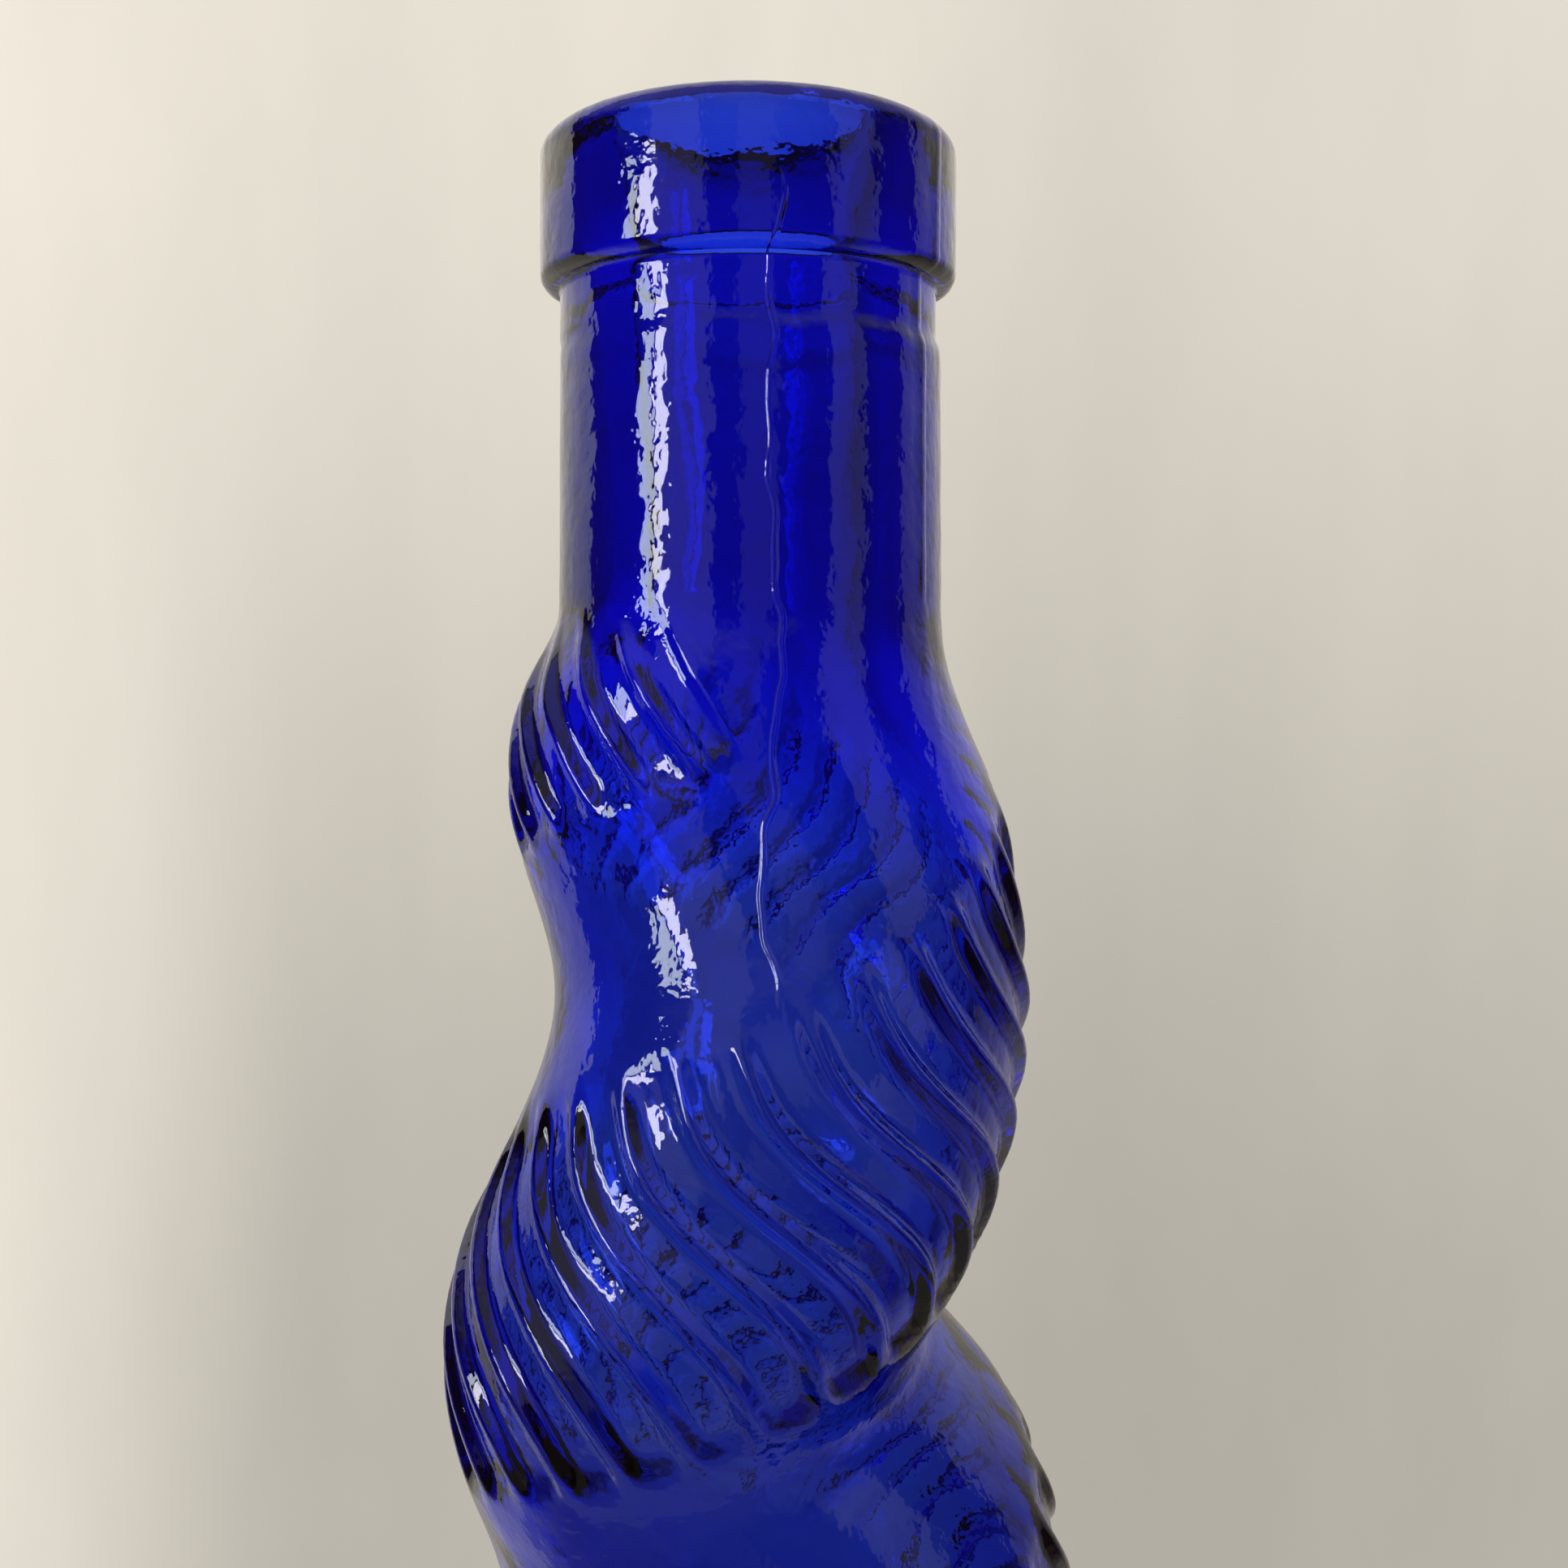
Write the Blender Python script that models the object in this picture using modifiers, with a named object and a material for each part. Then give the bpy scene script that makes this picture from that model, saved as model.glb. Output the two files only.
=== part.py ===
"""A twisted glass bottle, blown in one piece: a collar lip, a plain round neck, and a body wound up
like a barley-sugar column. One broad band stands out and climbs the body as a right-hand screw.
Slanting ribs are pressed into it, and a smooth hollow valley runs between its turns.

The bottle stands on z = 0 with its axis on Z and its front towards -Y. Sizes are in millimetres and
degrees. Depths are measured down from the top of the lip, azimuths from +X towards +Y."""

import math

import bmesh
import bpy

MM = 0.001

# Height and round foot
HEIGHT = 300.0
FOOT_DIAMETER = 68.0
HEEL_ROUND = 5.0
BEARING_WIDTH = 4.5
PUSH_UP = 8.0

# Lip and neck
LIP_DIAMETER = 34.0
LIP_HEIGHT = 11.8
LIP_TOP_ROUND = 1.7
LIP_BOTTOM_ROUND = 1.2
NECK_DIAMETER = 31.2
NECK_DRAFT = 0.3
NECK_END_DEPTH = 37.0

# Mouth, bore and walls
MOUTH_DIAMETER = 18.5
MOUTH_ROUND = 1.2
BORE_DIAMETER = 16.5
BORE_TAPER_LENGTH = 28.0
BODY_WALL = 4.0
SHOULDER_LENGTH = 26.0
BASE_THICKNESS = 6.5
INNER_HEEL_ROUND = 8.0

# The band that stands out: one turn for each pitch, its middle at this azimuth at the neck's end
PITCH = 56.2
BAND_AZIMUTH = -152.0
BAND_SHARE = 0.588
BAND_THROW = 5.7
CREST_FLATNESS = 0.19

# The band opens wide where it starts, and closes to its own width between these depths past the neck
LEAD_IN_ANGLE = 53.0
LEAD_IN_FROM = 7.6
LEAD_IN_TO = 31.3

# Ribs across the band: they lean the other way, snake a little as they cross it, and line up from one
# turn of the band to the next
RIB_COUNT = 21
RIB_AZIMUTH = 7.4
RIB_TURN_EACH_PITCH = 120.0
RIB_BOW_ANGLE = 4.1
RIB_LEAN_ANGLE = 2.2

# Flutes between the ribs, with round ends, as wide as this share of the ribs' spacing
FLUTE_DEPTH = 0.85
FLUTE_SHARE = 0.92
FLUTE_END_ANGLE = 34.0
FLUTE_FADE_LENGTH = 14.0
PLAIN_FOOT_HEIGHT = 14.0

# Body outline from the neck's end to the foot, by eye: share of the length, share of the swell from
# the neck's radius to the foot's, share of the band's throw
BODY_STATIONS = (
    (0.00, 0.00, 0.00),
    (0.035, 0.155, 0.30),
    (0.075, 0.26, 0.50),
    (0.12, 0.27, 0.60),
    (0.175, 0.215, 0.80),
    (0.23, 0.31, 1.00),
    (0.29, 0.485, 0.61),
    (0.36, 0.55, 0.61),
    (0.48, 0.59, 0.70),
    (0.63, 0.67, 0.70),
    (0.80, 0.75, 0.62),
    (0.90, 0.86, 0.28),
    (0.96, 0.98, 0.00),
    (1.00, 1.00, 0.00),
)

# Facets
COLUMNS_EACH_RIB = 3
BODY_ROWS = 58
INNER_COLUMNS = 28
INNER_BODY_ROWS = 32
ARC_STEPS = 3
DOME_SHARES = (0.75, 0.4, 0.0)
CORE_RISE = 6.0
MERGE = 0.00001

LIP_RADIUS = LIP_DIAMETER / 2
NECK_RADIUS = NECK_DIAMETER / 2
NECK_END_RADIUS = NECK_RADIUS + NECK_DRAFT
FOOT_RADIUS = FOOT_DIAMETER / 2
HEEL_DEPTH = HEIGHT - HEEL_ROUND
BODY_LENGTH = HEEL_DEPTH - NECK_END_DEPTH


def smooth_step(x):
    """0 below 0, 1 above 1, and an even S between."""
    x = min(1.0, max(0.0, x))
    return x * x * (3 - 2 * x)


def slope_at(points, i):
    """Slope of the curve through the points at point i: level at a peak, so nothing overshoots."""
    if i in (0, len(points) - 1):
        return 0.0
    (xa, ya), (xb, yb), (xc, yc) = points[i - 1:i + 2]
    before = (yb - ya) / (xb - xa)
    after = (yc - yb) / (xc - xb)
    if before * after <= 0:
        return 0.0
    return 2 * before * after / (before + after)


def smooth_through(points, x):
    """Height at x of the smooth curve through (x, y) points."""
    i = 0
    while i < len(points) - 2 and x > points[i + 1][0]:
        i += 1
    (xa, ya), (xb, yb) = points[i:i + 2]
    span = xb - xa
    t = min(1.0, max(0.0, (x - xa) / span))
    rise = yb - ya
    start = slope_at(points, i) * span
    end = slope_at(points, i + 1) * span
    return ya + t * (start + t * (3 * rise - 2 * start - end + t * (start + end - 2 * rise)))


def station_value(depth, column):
    """Value of one column of BODY_STATIONS at a depth."""
    points = [(station[0], station[column]) for station in BODY_STATIONS]
    return smooth_through(points, (depth - NECK_END_DEPTH) / BODY_LENGTH)


def mean_radius(depth):
    """Body radius at a depth, halfway between the band and the valley."""
    return NECK_END_RADIUS + (FOOT_RADIUS - NECK_END_RADIUS) * station_value(depth, 1)


def lead_in(depth):
    """Extra angle that the band takes up near its start."""
    past_neck = depth - NECK_END_DEPTH
    closed = smooth_step((past_neck - LEAD_IN_FROM) / (LEAD_IN_TO - LEAD_IN_FROM))
    return LEAD_IN_ANGLE * (1 - closed)


def band_angle(azimuth, depth):
    """Angle across the band, 0 on its crest and 180 in the valley."""
    turned = 360.0 * (depth - NECK_END_DEPTH) / PITCH
    angle = azimuth + turned - BAND_AZIMUTH + lead_in(depth) / 2
    return (angle + 180.0) % 360.0 - 180.0


def wound(column, depth):
    """Azimuth that a column of the blank has at a depth, once it is wound up along the ribs."""
    body_depth = min(HEEL_DEPTH, max(NECK_END_DEPTH, depth))
    straight = column + RIB_AZIMUTH + RIB_TURN_EACH_PITCH * (body_depth - NECK_END_DEPTH) / PITCH
    angle = math.radians(band_angle(straight, body_depth))
    return straight + RIB_BOW_ANGLE * math.sin(2 * angle) - RIB_LEAN_ANGLE * math.sin(angle)


def band_swell(azimuth, depth):
    """How far the band stands out of the mean radius, or the valley lies inside it."""
    angle = math.radians(band_angle(azimuth, depth))
    wave = math.cos(angle) - CREST_FLATNESS * math.cos(2 * angle)
    return BAND_THROW * station_value(depth, 2) * wave


def flute_at(column, depth):
    """How deep the flutes are at a column of the blank. Ribs stand at every whole number of spacings,
    and the flutes lie between them, on the band only, fading out at both ends of the body."""
    half_band = 180.0 * BAND_SHARE + lead_in(depth) / 2
    from_edge = (half_band - abs(band_angle(wound(column, depth), depth))) / FLUTE_END_ANGLE
    half_width = FLUTE_SHARE / 2
    past_end = max(0.0, half_width - from_edge)
    from_middle = column * RIB_COUNT / 360.0 % 1.0 - 0.5
    hollow = smooth_step(1 - math.hypot(from_middle, past_end) / half_width)
    from_body_end = min(depth - NECK_END_DEPTH, HEEL_DEPTH - PLAIN_FOOT_HEIGHT - depth)
    return FLUTE_DEPTH * hollow * smooth_step(from_body_end / FLUTE_FADE_LENGTH)


def pressed_outside(column, depth):
    """Azimuth and swell of the outside: wound up along the ribs, with the band and the flutes."""
    azimuth = wound(column, depth)
    return azimuth, band_swell(azimuth, depth) - flute_at(column, depth)


def pressed_inside(column, depth):
    """Azimuth and swell of the hollow: the band without its flutes, and no winding."""
    return column, band_swell(column, depth)


def wall_at(depth):
    """Glass thickness: what the bore leaves in the neck, thinning over the shoulder to the body's."""
    neck_wall = NECK_END_RADIUS - BORE_DIAMETER / 2
    share = smooth_step((depth - NECK_END_DEPTH) / SHOULDER_LENGTH)
    return neck_wall + (BODY_WALL - neck_wall) * share


def arc(centre_radius, centre_depth, radius, from_angle, to_angle, steps=ARC_STEPS):
    """Points (radius, depth) round a corner. Angle 0 points outwards and 90 points up."""
    points = []
    for i in range(steps + 1):
        angle = math.radians(from_angle + (to_angle - from_angle) * i / steps)
        points.append((centre_radius + radius * math.cos(angle), centre_depth - radius * math.sin(angle)))
    return points


def dome(edge_radius, edge_depth):
    """Points (radius, depth) of a floor that rises by the push-up, from inside its edge to the axis."""
    return [(edge_radius * share, edge_depth - PUSH_UP * (1 - share * share)) for share in DOME_SHARES]


def rows_between(from_depth, to_depth, count):
    """Depths of the rows of a stretch, both ends included."""
    return [from_depth + (to_depth - from_depth) * i / count for i in range(count + 1)]


def blank_profile():
    """Half outline of the full blank, from the middle of the lip's top to the middle of the base."""
    bearing_inner = FOOT_RADIUS - HEEL_ROUND - BEARING_WIDTH
    profile = [(0.0, 0.0)]
    profile += arc(LIP_RADIUS - LIP_TOP_ROUND, LIP_TOP_ROUND, LIP_TOP_ROUND, 90, 0)
    profile += arc(LIP_RADIUS - LIP_BOTTOM_ROUND, LIP_HEIGHT - LIP_BOTTOM_ROUND, LIP_BOTTOM_ROUND, 0, -90)
    profile.append((NECK_RADIUS, LIP_HEIGHT))
    profile += [(mean_radius(d), d) for d in rows_between(NECK_END_DEPTH, HEEL_DEPTH, BODY_ROWS)]
    profile += arc(FOOT_RADIUS - HEEL_ROUND, HEEL_DEPTH, HEEL_ROUND, 0, -90)[1:]
    profile.append((bearing_inner, HEIGHT))
    profile += dome(bearing_inner, HEIGHT)
    return profile


def core_profile():
    """Half outline of the hollow: the mouth, the bore, the body and the domed floor. The band is
    pressed into it as into the outside, but the ribs don't reach it."""
    mouth_radius = MOUTH_DIAMETER / 2
    bore_radius = BORE_DIAMETER / 2
    floor_edge = FOOT_RADIUS - BODY_WALL - INNER_HEEL_ROUND
    last_row = HEIGHT - BASE_THICKNESS - INNER_HEEL_ROUND
    profile = [(0.0, -CORE_RISE), (mouth_radius + MOUTH_ROUND, -CORE_RISE)]
    profile += arc(mouth_radius + MOUTH_ROUND, MOUTH_ROUND, MOUTH_ROUND, 90, 180)
    profile.append((bore_radius, BORE_TAPER_LENGTH))
    for depth in rows_between(NECK_END_DEPTH, last_row, INNER_BODY_ROWS):
        profile.append((mean_radius(depth) - wall_at(depth), depth))
    profile += arc(floor_edge, last_row, INNER_HEEL_ROUND, 0, -90)[1:]
    profile += dome(floor_edge, HEIGHT - BASE_THICKNESS)
    return profile


def turned(name, profile, columns, collection):
    """Closed solid of a profile turned about Z, as a plain mesh."""
    mesh = bpy.data.meshes.new(name)
    points = [(radius * MM, 0.0, (HEIGHT - depth) * MM) for radius, depth in profile]
    mesh.from_pydata(points, [(i, i + 1) for i in range(len(points) - 1)], [])
    solid = bpy.data.objects.new(name, mesh)
    collection.objects.link(solid)
    screw = solid.modifiers.new("Turn", "SCREW")
    screw.steps = columns
    screw.render_steps = columns
    screw.use_merge_vertices = True
    screw.merge_threshold = MERGE
    graph = bpy.context.evaluated_depsgraph_get()
    solid_mesh = bpy.data.meshes.new_from_object(solid.evaluated_get(graph))
    solid.modifiers.clear()
    solid.data = solid_mesh
    bpy.data.meshes.remove(mesh)
    return solid


def press(solid, pressed_at):
    """Moves each point of a turned solid to the azimuth and by the swell that pressed_at gives."""
    shape = bmesh.new()
    shape.from_mesh(solid.data)
    for vertex in shape.verts:
        depth = HEIGHT - vertex.co.z / MM
        radius = math.hypot(vertex.co.x, vertex.co.y) / MM
        azimuth, swell = pressed_at(math.degrees(math.atan2(vertex.co.y, vertex.co.x)), depth)
        if radius > 0:
            radius += swell
        vertex.co.x = radius * MM * math.cos(math.radians(azimuth))
        vertex.co.y = radius * MM * math.sin(math.radians(azimuth))
    bmesh.ops.triangulate(shape, faces=shape.faces, quad_method="SHORT_EDGE")
    shape.to_mesh(solid.data)
    shape.free()


def cobalt_glass():
    """Deep blue soda-lime glass with a fire-polished face."""
    material = bpy.data.materials.new("cobalt_glass")
    material.use_nodes = True
    surface = material.node_tree.nodes["Principled BSDF"]
    surface.inputs["Base Color"].default_value = (0.01, 0.006, 0.26, 1.0)
    surface.inputs["Roughness"].default_value = 0.04
    surface.inputs["Metallic"].default_value = 0.0
    surface.inputs["IOR"].default_value = 1.52
    surface.inputs["Transmission Weight"].default_value = 1.0
    return material


def make_bottle(parts, cutters):
    """The bottle: a turned blank, wound up and pressed, with the hollow taken out of it."""
    bottle = turned("bottle", blank_profile(), RIB_COUNT * COLUMNS_EACH_RIB, parts)
    press(bottle, pressed_outside)
    core = turned("hollow", core_profile(), INNER_COLUMNS, cutters)
    press(core, pressed_inside)
    core.hide_render = True
    core.display_type = "WIRE"
    cut = bottle.modifiers.new("Hollow", "BOOLEAN")
    cut.operation = "DIFFERENCE"
    cut.solver = "EXACT"
    cut.object = core
    bottle.data.materials.append(cobalt_glass())
    bottle.data.shade_smooth()
    bottle.data.set_sharp_from_angle(angle=math.radians(50))
    return bottle


def main():
    for thing in list(bpy.data.objects):
        bpy.data.objects.remove(thing)
    parts = bpy.data.collections.new("twisted_glass_bottle")
    cutters = bpy.data.collections.new("cutters")
    bpy.context.scene.collection.children.link(parts)
    bpy.context.scene.collection.children.link(cutters)
    make_bottle(parts, cutters)


main()
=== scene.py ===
"""Looks of a twisted glass bottle: one closed glass body, wound up by Geometry Nodes from a turned
blank, in cobalt-blue glass, with a pale studio round it. Sizes are in metres and angles in radians
unless a name or a comment says otherwise. Depths are measured down from the top of the lip. The
bottle stands on Z = 0, X points right, Y away from the camera, and azimuths run from X to Y."""

import math
from types import SimpleNamespace

import bmesh
import bpy
from bpy.props import FloatProperty, FloatVectorProperty, IntProperty, PointerProperty
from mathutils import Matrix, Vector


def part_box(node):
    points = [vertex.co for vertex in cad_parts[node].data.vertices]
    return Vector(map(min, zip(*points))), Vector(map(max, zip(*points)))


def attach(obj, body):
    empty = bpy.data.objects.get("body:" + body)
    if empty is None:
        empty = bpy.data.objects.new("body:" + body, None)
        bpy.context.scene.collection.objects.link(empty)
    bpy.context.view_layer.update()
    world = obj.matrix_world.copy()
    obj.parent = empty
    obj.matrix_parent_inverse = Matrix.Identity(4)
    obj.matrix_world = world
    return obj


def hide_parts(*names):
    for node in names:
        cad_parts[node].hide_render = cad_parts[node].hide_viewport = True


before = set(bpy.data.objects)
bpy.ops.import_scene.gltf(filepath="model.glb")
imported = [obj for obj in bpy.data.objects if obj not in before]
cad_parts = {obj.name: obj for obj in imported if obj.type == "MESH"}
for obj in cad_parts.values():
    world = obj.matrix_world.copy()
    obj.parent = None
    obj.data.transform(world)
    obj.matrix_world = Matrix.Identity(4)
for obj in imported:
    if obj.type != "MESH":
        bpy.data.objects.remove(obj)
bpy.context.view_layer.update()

bl_info = {
    "name": "Twisted Glass Bottle",
    "version": (1, 0, 0),
    "blender": (4, 5, 0),
    "location": "3D View > Sidebar > Bottle",
    "description": "Makes a cobalt-blue bottle with a ribbed band wound round it, and its studio",
    "category": "Add Mesh",
}

MM = 0.001

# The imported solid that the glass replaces, which gives the height and the foot's size
BODY_LOW, BODY_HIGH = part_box("bottle")
HEIGHT = BODY_HIGH[2] - BODY_LOW[2]
FOOT_RADIUS = (BODY_HIGH[0] - BODY_LOW[0]) / 2

# Body outline from the neck's end to the heel: share of the length, share of the swell from the
# neck's radius to the foot's, share of the band's throw
BODY_STATIONS = (
    (0.00, 0.00, 0.00),
    (0.035, 0.155, 0.30),
    (0.075, 0.26, 0.50),
    (0.12, 0.27, 0.60),
    (0.175, 0.215, 0.80),
    (0.23, 0.31, 1.00),
    (0.29, 0.485, 0.61),
    (0.36, 0.55, 0.61),
    (0.48, 0.59, 0.70),
    (0.63, 0.67, 0.70),
    (0.80, 0.75, 0.62),
    (0.90, 0.86, 0.28),
    (0.96, 0.98, 0.00),
    (1.00, 1.00, 0.00),
)

# Facets of the outer and the inner wall, whose outer columns crowd together at the ribs
COLUMNS_EACH_RIB = 12
NECK_ROW_STEP = 0.6 * MM
BODY_ROW_STEP = 0.95 * MM
RIB_CROWDING = 0.5
INNER_COLUMNS = 63
INNER_ROW_STEP = 2.6 * MM
FLARE_ROW_STEP = 1.0 * MM
ARC_STEPS = 7
BASE_STEPS = 8
FLOOR_STEPS = 6

# Depth of the hollow's first row, as a multiple of the round of the mouth's edge
FIRST_INNER_ROW = 1.5

# Points that are nearer to the axis than this lie on it
AXIS_REACH = 0.01 * MM

# Waves in one metre: of the line round the neck, of the flow line, of the outer and the inner wall,
# and of the ripples on the outer wall
RING_WAVES = 130.0
FLOW_WAVES = 90.0
OUTER_WAVES = 260.0
INNER_WAVES = 90.0
RIPPLE_WAVES = 550.0

# The narrower upper part of the neck: the depths over which it starts under the lip, and over which
# it ends, measured from the line round the neck
STEP_START = (11.0 * MM, 12.2 * MM)
STEP_END = (-0.4 * MM, 0.2 * MM)

# Depth at which the marks have their full height, and the heights at the foot over which they start
MARKS_FROM_TOP = 2.0 * MM
MARKS_FROM_FOOT = (1.0 * MM, 8.0 * MM)

# Sideways sway of the flow line in radians round the bottle, its finer waves, and the length in
# which it fades at both ends
FLOW_SWAY = 0.3
FLOW_DETAIL = 2.0
FLOW_FADE = 4.0 * MM

# Ripples on the outer wall
RIPPLE_HEIGHT = 0.09 * MM
RIPPLE_DETAIL = 2.5

# Polish and refraction of the glass, and how fast it darkens with its thickness
GLASS_ROUGHNESS = 0.035
GLASS_IOR = 1.52
GLASS_DENSITY = 600.0

# The table lies a hair under the bottle, so that their faces don't coincide
TABLE_RADIUS = 0.16
TABLE_THICKNESS = 0.02
TABLE_GAP = 0.2 * MM
TABLE_FACETS = 256
TABLE_ROUGHNESS = 0.6

# Light of the wall, the room, its table and its ceiling: X, Y or Z of the direction looked in, from
# and to, and the brightness at both
WALL_UPWARD = (-0.45, 0.42, 0.73, 1.17)
WALL_LEFT = (-0.24, -0.45, 0.0, 1.0)
WALL_LEFT_GLOW = (0.25, -0.55, 0.13, 0.68)
WALL_RIGHT = (0.03, 0.2, 1.0, 0.9)
WALL_FAR_RIGHT = (0.22, 0.5, 0.0, 0.07)
ROOM_UPWARD = (-0.15, 0.4, 0.75, 1.45)
BANDS_UPWARD = (-0.35, 0.0, 0.3, 1.0)
TABLE_DOWNWARD = (-0.4, -0.7, 0.0, 1.0)
TABLE_BACKWARD = (-0.2, 0.3, 0.15, 0.6)
CEILING_UPWARD = (0.35, 0.7, 0.0, 0.7)

# The wall's upright creases: their waves along X, Y and Z, how much finer waves they have, and
# their noise, from and to, with the brightness at both
CREASE_WAVES = (17.0, 17.0, 3.0)
CREASE_DETAIL = 4.0
CREASE_LIGHT = (0.25, 0.75, 0.98, 1.02)

# The wall as the glass shows it: the azimuths in degrees where it starts on the right, has its full
# brightness and ends on the left, and its brightness where it starts
WALL_SPAN = (11.0, 55.0, 163.0)
WALL_START_LIGHT = 0.4

# Upright bands of light in the front of the room: azimuth from and to in degrees, and brightness.
# Below is half the width of their soft edges
ROOM_BANDS = (
    (-144.0, -113.0, 0.6),
    (-95.0, -76.0, 0.25),
    (-43.0, -19.0, 0.55),
)
BAND_EDGE = math.radians(1.0)

# Brightness of the light that falls on everything from all sides
FILL_LIGHT = 0.5

# The window's two panes: azimuth in degrees, power in watts and colour of each, the distance and
# height of their middles, and their size
WINDOW_PANES = (
    (-152.75, 2.55, "#DCE8E8"),
    (-143.25, 3.65, "#F4F2FF"),
)
WINDOW_DISTANCE = 1.2
WINDOW_HEIGHT = 0.425
PANE_WIDTH = 0.15
PANE_HEIGHT = 0.5

# The camera's place, how far it looks down in degrees, its focal length and sensor in millimetres,
# its sideways shift as a share of the picture, and the nearest that it sees
CAMERA_SPOT = (0.0, -0.1326, 0.2595)
CAMERA_DOWN = 5.06
CAMERA_LENS = 36.056
CAMERA_SENSOR = 36.0
CAMERA_SHIFT = 0.0215
CAMERA_CLIP = 0.01


def length(name, default, description):
    """A size in metres, as a property."""
    return FloatProperty(name=name, default=default, description=description, subtype="DISTANCE",
                         unit="LENGTH", precision=5)


def turn(name, degrees, description):
    """An angle, given in degrees, as a property."""
    return FloatProperty(name=name, default=math.radians(degrees), description=description,
                         subtype="ANGLE")


def share(name, default, description):
    """A share of a whole, as a property."""
    return FloatProperty(name=name, default=default, description=description, subtype="FACTOR")


def tint(name, hex_colour, description):
    """A colour, given as sRGB hex, as a property."""
    return FloatVectorProperty(name=name, default=linear(hex_colour), description=description,
                               subtype="COLOR", size=4, min=0.0, max=1.0)


def linear(hex_colour):
    """Linear RGBA of an sRGB hex colour."""
    channels = [int(hex_colour[i:i + 2], 16) / 255 for i in (1, 3, 5)]
    levels = [c / 12.92 if c <= 0.04045 else ((c + 0.055) / 1.055) ** 2.4 for c in channels]
    return (*levels, 1.0)


class BottleSizes(bpy.types.PropertyGroup):
    """Sizes of the glass."""

    lip_radius: length("Lip radius", 17.0 * MM, "Radius of the collar lip")
    lip_height: length("Lip height", 11.8 * MM, "Height of the collar lip")
    lip_top_round: length("Lip top round", 1.7 * MM, "Radius of the lip's upper edge")
    lip_bottom_round: length("Lip bottom round", 1.2 * MM, "Radius of the lip's lower edge")
    neck_radius: length("Neck radius", 15.6 * MM, "Radius of the neck under the lip")
    neck_draft: length("Neck draft", 0.3 * MM, "How much wider the neck is at its lower end")
    neck_end: length("Neck end", 37.0 * MM, "Depth at which the plain neck ends")
    mouth_radius: length("Mouth radius", 9.25 * MM, "Radius of the mouth")
    mouth_flare: length("Mouth flare", 1.0 * MM, "How much wider the mouth is at its top")
    flare_depth: length("Flare depth", 7.0 * MM, "Depth at which the flare has ended")
    mouth_round: length("Mouth round", 0.25 * MM, "Radius of the mouth's edge")
    bore_radius: length("Bore radius", 8.25 * MM, "Radius of the bore in the neck")
    bore_taper: length("Bore taper", 28.0 * MM, "Depth at which the mouth has narrowed to the bore")
    body_wall: length("Body wall", 4.0 * MM, "Thickness of the glass in the body")
    shoulder: length("Shoulder", 26.0 * MM, "Length over which the neck's thick wall thins out")
    base_thickness: length("Base thickness", 6.5 * MM, "Thickness of the base")
    inner_heel_round: length("Inner heel round", 8.0 * MM, "Radius of the inside corner at the base")
    heel_round: length("Heel round", 5.0 * MM, "Radius of the outside corner at the base")
    bearing_width: length("Bearing width", 4.5 * MM, "Width of the ring that the bottle stands on")
    push_up: length("Push-up", 8.0 * MM, "Height of the dome under the base")


class BandSizes(bpy.types.PropertyGroup):
    """The band wound round the body, and the flutes pressed across it."""

    pitch: length("Pitch", 56.2 * MM, "Height of one turn of the band")
    azimuth: turn("Azimuth", -152.0, "Where the band's middle stands at the neck's end")
    width_share: share("Width share", 0.588, "Share of each turn that the band takes up")
    throw: length("Throw", 5.7 * MM, "How far the band stands out, and the valley in")
    flatness: share("Crest flatness", 0.19, "How flat the band's crest is")
    lead_angle: turn("Lead-in angle", 53.0, "Extra angle that the band takes up at its start")
    lead_from: length("Lead-in from", 7.6 * MM, "How far past the neck the band starts to close")
    lead_to: length("Lead-in to", 31.3 * MM, "How far past the neck the band has closed")
    lead_shift: turn("Lead-in shift", 33.0, "How far below the band's middle the first flutes sit")
    late_angle: turn("Late start", 84.0, "How far round the flutes still lack at the neck's end")
    late_length: length("Late start length", 11.5 * MM, "Length in which they reach the band's edge")
    rib_count: IntProperty(name="Ribs", default=21, min=3, description="Ribs in one round")
    rib_azimuth: turn("Rib azimuth", 7.4, "Where a rib stands at the neck's end")
    rib_turn: turn("Rib turn", 120.0, "How far the ribs turn in one pitch")
    rib_bow: turn("Rib bow", 4.1, "How far the ribs snake to both sides on their way across the band")
    rib_lean: turn("Rib lean", 2.2, "How much steeper the ribs stand on the band than from turn to turn")
    flute_depth: length("Flute depth", 0.95 * MM, "Depth of the flutes between the ribs")
    flute_share: share("Flute share", 0.91, "Share of a rib's spacing that a flute takes up")
    flute_slope: share("Flute slope", 0.44, "Share of a flute's half width that its side takes up")
    flute_end: turn("Flute end", 38.0, "Angle of the band in which a rib's spacing is covered")
    flute_rise: turn("Flute rise", 34.0, "Angle of the band in which a flute's upper end deepens")
    flute_fall: turn("Flute fall", 20.0, "Angle of the band in which a flute's lower end runs out")
    fade: length("Fade", 9.0 * MM, "Length in which the flutes fade out at both ends of the body")
    plain_foot: length("Plain foot", 14.0 * MM, "Height above the heel that has no flutes")


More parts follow.
